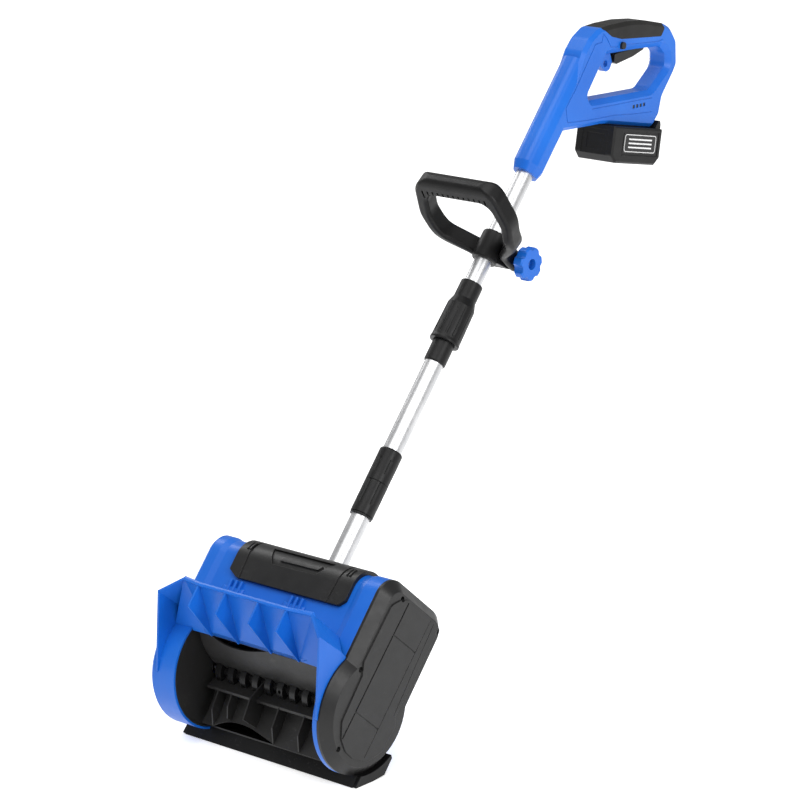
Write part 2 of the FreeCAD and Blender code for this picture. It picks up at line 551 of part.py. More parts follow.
c0, c1, c2, c3, c4 = COLLAR
base = turned([(TUBE_R, c0), (14.2, c0), (15.0, c0 + 1.5), (15.0, c1 + 13), (14.0, c1 + 13), (14.0, c2),
               (INNER_TUBE_R + 0.25, c2), (INNER_TUBE_R + 0.25, 548.2), (TUBE_R, 548.2)])
save("collar_base", on_pole(base))
nut_profile = [(15.0 + GAP, c1), (20.5, c1), (20.9, c1 + 2.5), (20.2, c1 + 6), (19.2, c2), (15.6, c3),
               (15.4, c4 - 1), (14.6, c4), (INNER_TUBE_R + GAP, c4), (INNER_TUBE_R + GAP, c2 + GAP),
               (14.0 + GAP, c2 + GAP), (14.0 + GAP, c1 + 13.5), (15.0 + GAP, c1 + 13.5)]
collar_nut = turned(nut_profile)
scallops = [rod_z(2.2, c1 + 9, c2 - 2, 21.2 * math.cos(a), 21.2 * math.sin(a))
            for a in [math.radians(30 * i) for i in range(12)]]
save("collar_nut", on_pole(collar_nut.cut(scallops)))

upper_low = 400.0
save("upper_tube", on_pole(tube_z(INNER_TUBE_R, INNER_TUBE_R - TUBE_WALL, upper_low, GRIP_START + 70)))
save("tube_end_bush", on_pole(turned([(8, upper_low - 6), (INNER_TUBE_R, upper_low - 6),
                                      (INNER_TUBE_R, upper_low),
                                      (INNER_TUBE_R - TUBE_WALL, upper_low),
                                      (INNER_TUBE_R - TUBE_WALL, upper_low + 15), (8, upper_low + 15)])))

# ---------------------------------------------------------------- auxiliary handle
bolt_z, bolt_y = BOLT_AT
ring = turned([(INNER_TUBE_R + GAP, CLAMP[0]), (16.5, CLAMP[0]), (17.5, CLAMP[0] + 2), (17.5, CLAMP[1] - 2),
               (16.5, CLAMP[1]), (INNER_TUBE_R + GAP, CLAMP[1])])
ears = slab([(8, bolt_z - 18), (bolt_y + 6, bolt_z - 11), (bolt_y + 11, bolt_z), (bolt_y + 6, bolt_z + 11),
             (8, bolt_z + 18)], -17.0, 17.0, [0, 6, 6, 6, 0])
ears = ears.cut(rod_z(INNER_TUBE_R + GAP, CLAMP[0] - 5, CLAMP[1] + 5))
clamp = fuse(ring, ears).cut(box((-1.2, 1.2), (8, 60), (CLAMP[0] - 5, CLAMP[1] + 5)))
clamp = clamp.cut(rod_x(4.0, -30, 30, bolt_y, bolt_z))
save("pole_clamp", on_pole(clamp))
bolt = fuse(rod_x(4.0, -31.0, 45.5, bolt_y, bolt_z), rod_x(7.0, -35.5, -30.6, bolt_y, bolt_z))
save("clamp_bolt", on_pole(bolt))

HANDLE_LEAN = (140.0, 119.0)     # side view: the legs leave the bolt at the first angle and end at the second
LEG_BEND, BAR_AT = 72.0, 73.0    # length of each stretch
bolt_centre = on_pole(Part.Vertex(0, bolt_y, bolt_z)).Point


def step(start, degrees, length):
    a = math.radians(degrees)
    return (start[0] + length * math.cos(a), start[1] + length * math.sin(a))


def band(path, half):
    """Side view of the handle: a strip of constant thickness along three points."""
    (ay, az), (by, bz), (cy, cz) = path
    first, second = HANDLE_LEAN
    bend = 0.5 * (first + second)
    wide = half / math.cos(math.radians(0.5 * (first - second)))
    left = [step((ay, az), first + 90, half), step((by, bz), bend + 90, wide),
            step((cy, cz), second + 90, half)]
    right = [step((ay, az), first - 90, half), step((by, bz), bend - 90, wide),
             step((cy, cz), second - 90, half)]
    return left + right[::-1]


bolt_yz = (bolt_centre.y, bolt_centre.z)
tail = step(bolt_yz, HANDLE_LEAN[0] + 180, 14)
bend_at = step(bolt_yz, HANDLE_LEAN[0], LEG_BEND)
bar_end = step(bend_at, HANDLE_LEAN[1], BAR_AT + 15)
side_view = slab(band([tail, bend_at, bar_end], 13.0), -110, 110, [12, 60, 12, 12, 60, 12])
chord = math.degrees(math.atan2(bar_end[1] - bolt_yz[1], bar_end[0] - bolt_yz[0]))
reach = math.dist(bolt_yz, bar_end)
right_outer = [(66, reach), (77, 98), (65, 52), (30, 23), (30, -30)]
right_inner = [(52, reach - 25), (60, 96), (51, 60), (18, 27), (18, -40)]
front_outer = [(-x, away) for x, away in right_outer[::-1]] + right_outer
front_inner = [(-x, away) for x, away in right_inner[::-1]] + right_inner


def in_handle_plane(p):
    """A point of the handle's front view, given as (across, away from the bolt)."""
    y, z = step(bolt_yz, chord, p[1])
    back = step((y, z), chord - 90, 60)
    return Vector(p[0], back[0], back[1])


through = step((0, 0), chord + 90, 120)
depth = Vector(0, through[0], through[1])
outer_radii = [0, 14, 40, 40, 28, 28, 40, 40, 14, 0]
front_view = Part.Face(rounded_wire(front_outer, outer_radii, in_handle_plane)).extrude(depth)
hollow = Part.Face(rounded_wire(front_inner, [0, 10, 26, 24, 18, 18, 24, 26, 10, 0], in_handle_plane))
aux_handle = side_view.common(front_view.cut(hollow.extrude(depth)))
long_edges = [edge for edge in aux_handle.Edges if edge.BoundBox.DiagonalLength > 6.0]
aux_handle = aux_handle.makeFillet(5.5, long_edges)
grip_low = step(step(bar_end, chord + 180, 21.5), chord + 90, 12)
slots = [slab([step(grip_low, chord + 45, 9), step(grip_low, chord - 45, 7), step(grip_low, chord + 225, 7),
               step(grip_low, chord + 135, 9)], x - 1.4, x + 1.4) for x in [-54 + 8.8 * i for i in range(13)]]
aux_handle = aux_handle.cut(slots)
aux_handle = aux_handle.cut(rod_x(4.08, -40, 40, bolt_yz[0], bolt_yz[1]))
save("auxiliary_handle", aux_handle)

# star knob on the bolt's right end
KNOB = (31.0, 38.0, 53.0)        # foot, underside and face of the knob
star = rod_x(23.0, KNOB[1], KNOB[2])
star = star.makeChamfer(1.8, [edge for edge in star.Edges if edge.BoundBox.XLength < 0.01])
lobes = [rod_x(7.0, KNOB[0], KNOB[2] + 5, 25.8 * math.cos(a), 25.8 * math.sin(a))
         for a in [math.radians(22.5 + 360 / 7 * i) for i in range(7)]]
star = fuse(star.cut(lobes), rod_x(10.5, KNOB[0], KNOB[1] + 0.5))
star = star.cut([rod_x(4.05, 20, 60), rod_x(7.5, KNOB[2] - 9, 60)])
star.translate(Vector(0, bolt_y, bolt_z))
save("star_knob", on_pole(star))

# ---------------------------------------------------------------- main handle, level with the ground in use


def rail_point(along):
    """A point of the battery rail's face (Y, Z), that far back along it."""
    return step(BATTERY_AT, -BATTERY_TILT, along)


grip_outline = [(598, 838), (612, 853), (632, 864), (660, 866.5), (700, 867), (740, 863.5), (780, 855),
                (797, 847),
                (811, 829), (813, 794), (805, 782), (780, 752), (773, 728), rail_point(108.2), rail_point(0),
                (640, 733), (552, 735), (541, 734)]
outline_radii = [16, 18, 20, 40, 60, 60, 40, 26, 16, 16, 16, 12, 9, 8, 0, 0, 12, 0]
loop_outline = [(611, 776), (617, 768), (700, 766), (752, 765), (790, 794), (790, 811), (777, 823),
                (723, 826),
                (652, 827), (641, 814)]
loop_radii = [5, 5, 60, 18, 12, 10, 8, 40, 6, 12]
OUTER_CHAMFER, LOOP_CHAMFER = 5.0, 7.0
STEM_DEPTH = 22.0
HANDLE_WALL = 3.0
HOLLOW_CHAMFER = 2.5             # keeps the wall even behind the outer chamfers
PIVOT = (744.0, 829.0)           # trigger hinge (Y, Z)
LOCK_AT = (682.0, 836.0)         # lock-off button (Y, Z)


def on_side(edge):
    bound = edge.BoundBox
    return bound.XLength < 0.01 and abs(abs(bound.XMin) - HANDLE_HALF) < 0.01


def round_the_loop(edge):
    bound = edge.BoundBox
    return on_side(edge) and 600 < bound.YMin and bound.YMax < 795 and 760 < bound.ZMin and bound.ZMax < 832


solid_handle = chamfered(slab(grip_outline, -HANDLE_HALF, HANDLE_HALF, outline_radii), OUTER_CHAMFER, on_side)
solid_handle = solid_handle.cut(slab(loop_outline, -60, 60, loop_radii))
solid_handle = chamfered(solid_handle, LOOP_CHAMFER, round_the_loop)


def stem_wire(inset, z):
    """Section of the stem round the tube: round in front, flat at the sides, cut off behind."""
    side, front, back = HANDLE_HALF - inset, STEM_DEPTH - inset, STEM_DEPTH - 1.0 - inset
    points = [(-side, -7), (-0.62 * side, -front), (0.62 * side, -front), (side, -7), (side, 9),
              (0.5 * side, back), (-0.5 * side, back), (-side, 9)]
    return rounded_wire(points, [10, 12, 12, 10, 2, 2, 2, 2], lambda p: Vector(p[0], p[1], z))


stem = Part.Face(stem_wire(0, GRIP_START + 12)).extrude(Vector(0, 0, 944 - GRIP_START - 12))
stem_foot = Part.makeLoft([stem_wire(4.0, GRIP_START), stem_wire(0, GRIP_START + 12)], True, True)
solid_handle = fuse(solid_handle, on_pole(fuse(stem, stem_foot)))
hook = slab([(647, 815), (657, 806), (664, 800), (673, 803), (678, 812), (672, 829), (660, 829)], -5, 5,
            [0, 6, 6, 6, 4, 0, 0])
hook = hook.cut(rod_x(4.6, -10, 10, 663, 812))
solid_handle = fuse(solid_handle, hook)


def groove(points, width=1.1, depth=0.7):
    """A shallow groove along points (Y, Z) in both side faces of the handle."""
    deep = HANDLE_HALF - depth
    cuts = [rod_x(width / 2, deep, HANDLE_HALF + 5, *p) for p in points]
    for (ay, az), (by, bz) in zip(points, points[1:]):
        length = math.dist((ay, az), (by, bz))
        ny, nz = -(bz - az) / length * width / 2, (by - ay) / length * width / 2
        cuts.append(slab([(ay + ny, az + nz), (by + ny, bz + nz), (by - ny, bz - nz), (ay - ny, az - nz)],
                         deep, HANDLE_HALF + 5))
    return cuts + [mirrored(cut) for cut in cuts]


panel_grooves = groove([(622, 845), (607, 826), (579, 789), (558, 766), (562, 746), (609, 743), (666, 742),
                        (706, 738), (752, 735)])
panel_grooves += groove([(622, 845), (636, 846), (639, 857), (648, 849), (656, 837), (672, 835.5)])
panel_grooves += groove([(694, 836), (768, 832), (776, 834)])
panel_grooves += groove([(616, 757.2), (700, 755.8), (752, 754.6)])
solid_handle = solid_handle.cut(panel_grooves)

# the soft grip wraps over a core of the shells
grip_zone = slab([(640, 880), (640, 863), (658, 851), (681, 845), (772, 838), (779, 847), (779, 880)],
                 -30, 30, [0, 0, 8, 8, 4, 4, 0])
grip_core = slab([(650, 838), (772, 829), (770, 850), (736, 859), (695, 862), (650, 861.5)], -13.5, 13.5,
                 [0, 0, 4, 60, 60, 4])
grip_cover = solid_handle.common(grip_zone)
save("grip_cover", max(grip_cover.cut(grip_core).Solids, key=lambda solid: solid.Volume))

# hollow shells, with bosses for the tube, the screws and the trigger
outline = Part.Face(rounded_wire(grip_outline, outline_radii, lambda p: Vector(-15.0, p[0], p[1])))
opening = Part.Face(rounded_wire(loop_outline, loop_radii, lambda p: Vector(-15.0, p[0], p[1])))
hollow_side = outline.cut(opening).Faces[0].makeOffset2D(-HANDLE_WALL)
hollow = chamfered(hollow_side.extrude(Vector(30.0, 0, 0)), HOLLOW_CHAMFER,
                   lambda edge: edge.BoundBox.XLength < 0.01)
screw_points = [(627, 752), (566, 752), (798, 800), (764, 744)]
kept = [on_pole(rod_z(15.0, GRIP_START - 5, GRIP_START + 75)), grip_zone.cut(grip_core),
        rod_x(6.0, -20, 20, *PIVOT)]
kept += [rod_x(4.6, -20, 20, y, z) for y, z in screw_points]
kept += [box((-20, 20), (690, 694), (826, 850)), box((-20, 20), (726, 730), (838, 850)),
         rod_x(7.5, -20, 20, *LOCK_AT),
         on_battery(box((-20, 20), (-20, 140), (0, 7.5)))]
cavity = hollow.cut(kept)
tube_bore = on_pole(rod_z(INNER_TUBE_R, GRIP_START - 2, GRIP_START + 72))
wire_way = on_pole(rod_z(8.0, GRIP_START + 70, GRIP_START + 90))
switch_bay = box((-12, 12), (692, 728), (830, 841.2))
board_bay = box((-13, 13), (640, 756), (741, 757))
trigger_slot = box((-8.6, 8.6), (676, 753), (820, 836.5))
button_bore = rod_x(5.0, -30, 30, *LOCK_AT)
rail_slot = on_battery(fuse(box((-10, 10), (4, 140), (-2, 3)), box((-14, 14), (4, 140), (2, 5))))
pin_holes = rod_x(1.8, -12, 12, *PIVOT)
screw_cores = [rod_x(1.6, -HANDLE_HALF + 3.5, 10, y, z) for y, z in screw_points]
shells = solid_handle.cut([grip_zone.cut(grip_core), cavity, tube_bore, wire_way, switch_bay, board_bay,
                           trigger_slot, button_bore, rail_slot, pin_holes] + screw_cores)
head_seats = [rod_x(3.3, -HANDLE_HALF - 5, -HANDLE_HALF + 3.7, y, z) for y, z in screw_points]
LIGHT_YS = (711, 719, 727, 735)  # the four charge lights
light_windows = [box((HANDLE_HALF - 5, HANDLE_HALF + 1), (y - 2.6, y + 2.6), (745.1, 749.9))
                 for y in LIGHT_YS]
left_shell = shells.common(box((-60, 0), (400, 900), (600, 900))).cut(head_seats)
right_shell = shells.common(box((0, 60), (400, 900), (600, 900))).cut(light_windows)
save("handle_shell_left", max(left_shell.Solids, key=lambda solid: solid.Volume))
save("handle_shell_right", max(right_shell.Solids, key=lambda solid: solid.Volume))
shell_screws = [screw_x(-HANDLE_HALF + 1.5, y, z, 20.0, toward=-1, core_r=1.6) for y, z in screw_points]
save("handle_screws", *shell_screws)

save("switch_body", fuse(box((-12, 12), (694.5, 725.5), (833, 841)), box((-3, 3), (698, 704), (830.5, 833))))
save("control_board", fuse(box((-13, 13), (646, 752), (743, 744.6)), box((-8, 8), (660, 680), (744.6, 753)),
                           box((-9, 9), (690, 700), (744.6, 750))))
lenses = [box((HANDLE_HALF - 5, HANDLE_HALF - 1.0), (y - 2.5, y + 2.5), (745.2, 749.8)) for y in LIGHT_YS]
save("charge_lights", fuse(box((HANDLE_HALF - 7, HANDLE_HALF - 4.1), (704, 741), (744.7, 750.5)), *lenses))

# trigger: a lever hinged at the back of its slot, pushed down by a spring
lever = slab([(679, 812), (684, 809), (722, 815), (746, 822), (749, 829), (746, 833), (740, 832),
              (737.5, 826.2),
              (688, 824), (680, 823)], -8.0, 8.0, [2, 3, 20, 4, 3, 3, 2, 0, 0, 2])
save("trigger", lever.cut(rod_x(1.85, -20, 20, *PIVOT)))
save("trigger_pin", pin_holes)


def coil(radius, wire_r, pitch, height):
    """A compression spring along z."""
    helix = Part.makeHelix(pitch, height, radius)
    section = Part.Wire(Part.makeCircle(wire_r, Vector(radius, 0, 0), Vector(0, 1, 0)))
    return Part.Wire(helix.Edges).makePipeShell([section], True, True)


SPRING_AT = (732.5, 826.7)       # foot of the trigger spring (Y, Z)
trigger_spring = coil(2.4, 0.45, 1.84, 9.2)
trigger_spring.translate(Vector(0, *SPRING_AT))
save("trigger_spring", trigger_spring)
button = rod_x(4.92, -HANDLE_HALF + 1.0, HANDLE_HALF + 3.5, *LOCK_AT)
save("lock_off_button", button.cut(box((-8.6, 8.6), (670, 690), (820, LOCK_AT[1] - 3.2))))

# terminals at the front end of the battery rail
blades = [box((x - 0.4, x + 0.4), (8.5, 16), (0.8, 4.2)) for x in (-6, 0, 6)]
save("battery_terminals", on_battery(fuse(box((-9.5, 9.5), (4, 8.6), (0.2, 4.8)), *blades)))

# ---------------------------------------------------------------- battery, in its rail's frame
wide, long, tall = BATTERY_SIZE
half = wide / 2
top, bottom = BATTERY_TOP, BATTERY_TOP - tall
case = slab([(0, top), (0, bottom + 10), (10, bottom), (long - 10, bottom), (long, bottom + 10), (long, top)],
            -half, half, [0, 4, 4, 4, 4, 0])
case = case.makeChamfer(2.5, [edge for edge in case.Edges if edge.BoundBox.XLength < 0.01])
hump = slab([(long - 4, top), (109.4, top), (109.4, 0.3), (115.4, 9.5), (118.4, 9.5), (120.5, 4),
             (120.5, -12),
             (long, -24), (long - 4, -24)], -22, 22, [0, 0, 0, 1, 2, 2, 3, 0, 0])
hollow = box((-half + 2.5, half - 2.5), (3, long - 3), (bottom + 12, top - 3))
hollow = fuse(hollow, box((-half + 2.5, half - 2.5), (11, long - 11), (bottom + 2.5, bottom + 13)))
lid = box((-26, 26), (8, 104), (top - 3, top + 1))
button_slot = box((-9.4, 9.4), (113.4, 124), (-8.4, 2.4))
panel_edge = fuse(box((-22, 22), (-1, 0.8), (-42, -8)), box((-14, 14), (-1, 1.6), (-36, -14)))
side_panel = box((half - 0.8, half + 1), (20, 105), (-40, -7))
case = fuse(case, hump).cut([hollow, lid, button_slot, panel_edge, side_panel, mirrored(side_panel)])
save("battery_case", on_battery(case))
cell_r = 8.9
rows = [(x, bottom + 2.6 + cell_r) for x in (-18.2, 0, 18.2)]
rows += [(x, bottom + 2.7 + 3 * cell_r) for x in (-9.1, 9.1)]
cells = [Part.makeCylinder(cell_r, 65, Vector(x, 14, z), Vector(0, 1, 0)).cut(
    Part.makeCylinder(cell_r - 1.5, 62, Vector(x, 15.5, z), Vector(0, 1, 0))) for x, z in rows]
save("battery_cells", *[on_battery(cell) for cell in cells])
rail = fuse(box((-26, 26), (8, 104), (top - 3, top)), box((-9.6, 9.6), (9.6, 104), (top - 1, 4.6)),
            box((-13.6, 13.6), (9.6, 104), (2.4, 4.6)))
save("battery_rail", on_battery(rail.cut([box((x - 0.8, x + 0.8), (9, 18), (0, 5)) for x in (-6, 0, 6)])))
save("battery_release", on_battery(box((-9.0, 9.0), (116.2, 122.5), (-8.0, 2.0))))
save("battery_label", on_battery(box((half - 0.8, half - 0.3), (23.5, 101.5), (-37, -10))))
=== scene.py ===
import json
import math

import bmesh
import bpy
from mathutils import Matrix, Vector


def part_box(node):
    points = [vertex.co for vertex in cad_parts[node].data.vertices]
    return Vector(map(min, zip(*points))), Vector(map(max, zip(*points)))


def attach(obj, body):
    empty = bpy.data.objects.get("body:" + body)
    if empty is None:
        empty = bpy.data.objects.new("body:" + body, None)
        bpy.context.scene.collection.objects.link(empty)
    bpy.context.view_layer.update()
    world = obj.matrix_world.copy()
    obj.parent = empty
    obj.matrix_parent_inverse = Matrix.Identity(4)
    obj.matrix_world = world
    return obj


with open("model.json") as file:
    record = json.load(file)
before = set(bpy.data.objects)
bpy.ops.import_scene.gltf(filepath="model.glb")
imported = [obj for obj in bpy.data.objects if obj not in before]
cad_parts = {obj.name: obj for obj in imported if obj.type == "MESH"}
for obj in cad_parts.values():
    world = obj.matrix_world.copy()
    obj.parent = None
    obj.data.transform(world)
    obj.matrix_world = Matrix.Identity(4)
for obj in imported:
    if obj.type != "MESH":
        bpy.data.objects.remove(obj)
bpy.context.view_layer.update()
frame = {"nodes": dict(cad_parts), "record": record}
NODES = frame["nodes"]
BODIES = frame["record"]["behaviour"]["bodies"]
BODY_OF = {node: body for body, nodes in BODIES.items() for node in nodes}
MM = 0.001

# surface patterns: scales in cycles per metre of the object's own frame, depths in metres
EDGE_SAMPLES = 6
DRIFT_SCALE = 9.0
GLOSS_SCALE = 60.0
WAVE_SCALE, WAVE_DEPTH = 14.0, 0.0004
SCUFF_COARSE, SCUFF_FINE = 38.0, 300.0
STREAK = (900.0, 900.0, 6.0)
STREAK_DEPTH = 0.00003
STAIN_SCALE, STAIN_SHARE = 22.0, 0.6

# the battery's label, in millimetres
LABEL_HALF_LONG, LABEL_HALF_TALL = 36.5, 12.2
LABEL_BORDER = 1.1
LABEL_RADIUS, LABEL_INNER_RADIUS = 4.0, 3.2
BAR_HALF, BAR_TALL = 27.0, 2.2
BAR_LEVELS = (-6.7, -1.1, 4.5)
PRINT_THICKNESS = 0.12

# the stage, the lights and the camera: places and sizes in metres, the lamps' power in watts, the sun's
# spread in degrees, and the camera's lens and sensor in millimetres
FLOOR_HALF = 25.0
FLOOR_GAP = 0.0005
FLOOR_GLOW = 0.45
WORLD_STRENGTH = 0.46
LIGHT_TARGET = (0.0, 0.3, 0.4)
SKY_PLACE, SKY_STRENGTH, SKY_SPREAD = (0.5, -1.2, 3.2), 1.9, 50.0
KEY_PLACE, KEY_SIZE, KEY_POWER = (2.6, -0.4, 1.6), (1.0, 1.4), 42.0
SIDE_PLACE, SIDE_SIZE, SIDE_POWER = (-2.2, 0.6, 2.2), (0.8, 2.0), 24.0
CAMERA_PLACE, CAMERA_TARGET = (2.6886, -2.911, 1.5479), (0.0, 0.237, 0.4231)
CAMERA_LENS, SENSOR_WIDTH = 148.2, 36.0


# ---------------------------------------------------------------- materials
class Shader:
    """A principled material built from procedural nodes; patterns are in metres of the object's own frame."""

    def __init__(self, name, roughness=0.5, metallic=0.0, specular=0.5, edge=0.0):
        self.material = bpy.data.materials.new(name)
        self.material.use_nodes = True
        self.tree = self.material.node_tree
        self.bsdf = self.tree.nodes["Principled BSDF"]
        self.bsdf.inputs["Roughness"].default_value = roughness
        self.bsdf.inputs["Metallic"].default_value = metallic
        self.bsdf.inputs["Specular IOR Level"].default_value = specular
        self.coords = self.tree.nodes.new("ShaderNodeTexCoord").outputs["Object"]
        self.normal = None
        if edge:
            rounded = self.tree.nodes.new("ShaderNodeBevel")
            rounded.samples = EDGE_SAMPLES
            rounded.inputs["Radius"].default_value = edge
            self.normal = rounded.outputs["Normal"]
            self.tree.links.new(self.normal, self.bsdf.inputs["Normal"])

    def node(self, kind, **inputs):
        """A new node; an underscore in an input's name stands for a space."""
        made = self.tree.nodes.new(kind)
        for key, value in inputs.items():
            self.put(made.inputs[key.replace("_", " ")], value)
        return made

    def put(self, socket, value):
        """Feed a socket from another node or with a constant."""
        if isinstance(value, bpy.types.NodeSocket):
            self.tree.links.new(value, socket)
        else:
            socket.default_value = value

    def stretched(self, scale, turn):
        """The object's own coordinates, turned and scaled."""
        mapping = self.node("ShaderNodeMapping", Vector=self.coords, Scale=scale, Rotation=turn)
        return mapping.outputs["Vector"]

    def noise(self, scale, detail=3.0, vector=None, roughness=0.55):
        made = self.node("ShaderNodeTexNoise", Scale=scale, Detail=detail, Roughness=roughness)
        self.tree.links.new(vector or self.coords, made.inputs["Vector"])
        return made.outputs["Fac"]

    def span(self, value, low, high, to_low=0.0, to_high=1.0):
        """Map low to high onto to_low to to_high, and hold the ends."""
        made = self.node("ShaderNodeMapRange", Value=value, From_Min=low, From_Max=high,
                         To_Min=to_low, To_Max=to_high)
        return made.outputs["Result"]

    def blend(self, factor, first, second):
        made = self.tree.nodes.new("ShaderNodeMix")
        made.data_type = "RGBA"
        self.put(made.inputs[0], factor)
        for index, value in ((6, first), (7, second)):
            self.put(made.inputs[index], value + (1.0,) if isinstance(value, tuple) else value)
        return made.outputs[2]

    def maths(self, operation, first, second):
        made = self.tree.nodes.new("ShaderNodeMath")
        made.operation = operation
        self.put(made.inputs[0], first)
        self.put(made.inputs[1], second)
        return made.outputs[0]

    def colour(self, value):
        self.put(self.bsdf.inputs["Base Color"], value)

    def rough(self, value):
        self.put(self.bsdf.inputs["Roughness"], value)

    def bump(self, value, distance, strength):
        """Add relief on top of the rounded edges and any earlier relief."""
        made = self.node("ShaderNodeBump", Height=value, Distance=distance, Strength=strength)
        if self.normal is not None:
            self.tree.links.new(self.normal, made.inputs["Normal"])
        self.normal = made.outputs["Normal"]
        self.tree.links.new(self.normal, self.bsdf.inputs["Normal"])


def moulded(name, dark, light, roughness, grain=1400.0, grain_depth=0.00004, scuff=None, scuffed=0.0,
            specular=0.5, edge=0.0006):
    """Moulded plastic: slow colour drift, spark-eroded grain, uneven gloss and a few rubbed patches."""
    s = Shader(name, roughness=roughness, specular=specular, edge=edge)
    drift = s.noise(DRIFT_SCALE, 2.0)
    fine = s.noise(grain, 2.0)
    shade = s.blend(s.span(drift, 0.3, 0.7), dark, light)
    if scuffed:
        patches = s.maths("MULTIPLY", s.noise(SCUFF_COARSE, 6.0, roughness=0.75), s.noise(SCUFF_FINE, 4.0))
        rubbed = s.span(patches, 0.33, 0.46)
        shade = s.blend(s.maths("MULTIPLY", rubbed, scuffed), shade, scuff)
    s.colour(shade)
    gloss = s.maths("ADD", s.noise(GLOSS_SCALE, 4.0), fine)
    s.rough(s.span(gloss, 0.7, 1.3, roughness - 0.07, roughness + 0.08))
    s.bump(fine, grain_depth, 0.6)
    s.bump(s.noise(WAVE_SCALE, 2.0), WAVE_DEPTH, 0.12)
    return s.material


def drawn_metal(name, dark, light, roughness, turn):
    """Drawn or ground metal with fine streaks along one direction and soft stains."""
    s = Shader(name, roughness=roughness, metallic=1.0)
    lines = s.noise(1.0, 4.0, s.stretched(STREAK, turn), 0.7)
    stain = s.noise(STAIN_SCALE, 3.0)
    tone = s.maths("ADD", lines, s.maths("MULTIPLY", stain, STAIN_SHARE))
    s.colour(s.blend(s.span(tone, 0.6, 1.05), dark, light))
    s.rough(s.span(lines, 0.25, 0.75, roughness - 0.08, roughness + 0.1))
    s.bump(lines, STREAK_DEPTH, 0.35)
    return s.material


BLUE_DARK, BLUE_LIGHT = (0.004, 0.096, 0.46), (0.008, 0.126, 0.54)
blue_plastic = moulded("blue_plastic", BLUE_DARK, BLUE_LIGHT, 0.36, scuff=(0.08, 0.25, 0.75), scuffed=0.12,
                       specular=0.3)
handle_blue = moulded("handle_blue_plastic", BLUE_DARK, BLUE_LIGHT, 0.34, scuff=(0.08, 0.25, 0.75),
                      scuffed=0.08, specular=0.3, edge=0.0003)
black_plastic = moulded("black_plastic", (0.0034, 0.0034, 0.0036), (0.0060, 0.0059, 0.0060), 0.42,
                        grain=1100.0, grain_depth=0.00006, scuff=(0.03, 0.03, 0.031), scuffed=0.3,
                        specular=0.22, edge=0.0008)
# painted light: the motor and belt covers get a lighter copy of the black plastic, brighter as though lit by
# the key lamp on their side
painted_lit_black_plastic = moulded("painted_lit_black_plastic", (0.0065, 0.0065, 0.0067), (0.0100, 0.0098, 0.0097), 0.40,
                        grain=1200.0, grain_depth=0.00005, scuff=(0.05, 0.05, 0.051), scuffed=0.25,
                        specular=0.32, edge=0.0008)
black_fine = moulded("black_fine_plastic", (0.0045, 0.0045, 0.0048), (0.008, 0.008, 0.0083), 0.34,
                     grain=2000.0, grain_depth=0.00003, scuff=(0.035, 0.035, 0.036), scuffed=0.2,
                     specular=0.28)
worn_plastic = moulded("scraper_plastic", (0.004, 0.004, 0.0042), (0.0075, 0.0075, 0.0077), 0.5, grain=900.0,
                       scuff=(0.045, 0.045, 0.046), scuffed=0.6, specular=0.22)
liner_plastic = moulded("liner_plastic", (0.010, 0.0098, 0.0095), (0.017, 0.0165, 0.016), 0.38, grain=1800.0,
                        grain_depth=0.00002, scuff=(0.05, 0.05, 0.05), scuffed=0.4)
paddle_rubber = moulded("paddle_rubber", (0.009, 0.0088, 0.0086), (0.016, 0.0156, 0.0152), 0.46, grain=800.0,
                        scuff=(0.06, 0.06, 0.06), scuffed=0.4, specular=0.4)
grip_rubber = moulded("grip_rubber", (0.0070, 0.0066, 0.0062), (0.012, 0.0115, 0.0108), 0.55, grain=1500.0,
                      grain_depth=0.00012, scuff=(0.04, 0.038, 0.036), scuffed=0.25, specular=0.28,
                      edge=0.0012)
belt_rubber = moulded("belt_rubber", (0.01, 0.01, 0.01), (0.02, 0.02, 0.02), 0.7)
POLE_TURN = (math.radians(-40.0), 0.0, 0.0)
tube_metal = drawn_metal("tube_aluminium", (0.46, 0.465, 0.475), (0.62, 0.62, 0.625), 0.38, POLE_TURN)
steel = drawn_metal("zinc_steel", (0.38, 0.385, 0.40), (0.56, 0.56, 0.57), 0.34, (0.0, math.radians(90), 0.0))
brass = drawn_metal("terminal_brass", (0.55, 0.40, 0.16), (0.75, 0.58, 0.28), 0.3, (0.0, 0.0, 0.0))
cell_wrap = moulded("cell_wrap", (0.04, 0.20, 0.12), (0.06, 0.28, 0.17), 0.35)
board_green = moulded("board_green", (0.01, 0.12, 0.05), (0.02, 0.17, 0.07), 0.4)
lens = moulded("light_lens", (0.003, 0.003, 0.005), (0.009, 0.009, 0.012), 0.12, grain=500.0,
               grain_depth=0.00001)
label_film = moulded("label_film", (0.004, 0.004, 0.0045), (0.008, 0.008, 0.0085), 0.28, grain=600.0,
                     grain_depth=0.00001, specular=0.3)
print_white = moulded("print_white", (0.62, 0.62, 0.62), (0.74, 0.74, 0.74), 0.4, grain=900.0,
                      grain_depth=0.00001)

FINISHES = (
    (blue_plastic, "housing_shell left_end_cover snow_deflector star_knob"),
    (handle_blue, "handle_shell_left handle_shell_right"),
    # the covers take the lighter copy of the black plastic, with painted light
    (painted_lit_black_plastic, "motor_cover belt_cover"),
    (black_plastic, "skid_shoes auxiliary_handle pole_clamp coupling_nut "
                    "coupling_plug coupling_socket collar_base collar_nut battery_case battery_rail "
                    "battery_release pole_socket tube_end_bush plug_terminal socket_terminal motor_mount "
                    "switch_body"),
    (black_fine, "trigger lock_off_button rotor_hub rotor_end_disc rotor_pulley motor_pulley"),
    (worn_plastic, "scraper_base scraper_blade"),
    (liner_plastic, "chamber_liner"),
    (paddle_rubber, "front_paddle rear_paddle upper_paddle"),
    (grip_rubber, "grip_cover"),
    (belt_rubber, "drive_belt"),
    (tube_metal, "lower_tube middle_tube upper_tube"),
    (steel, "belt_cover_screws handle_screws clamp_bolt rotor_shaft motor_shaft trigger_pin "
            "trigger_spring rotor_bearings motor_can"),
    (brass, "battery_terminals"),
    (cell_wrap, "battery_cells"),
    (board_green, "control_board"),
    (lens, "charge_lights"),
    (label_film, "battery_label"),
)
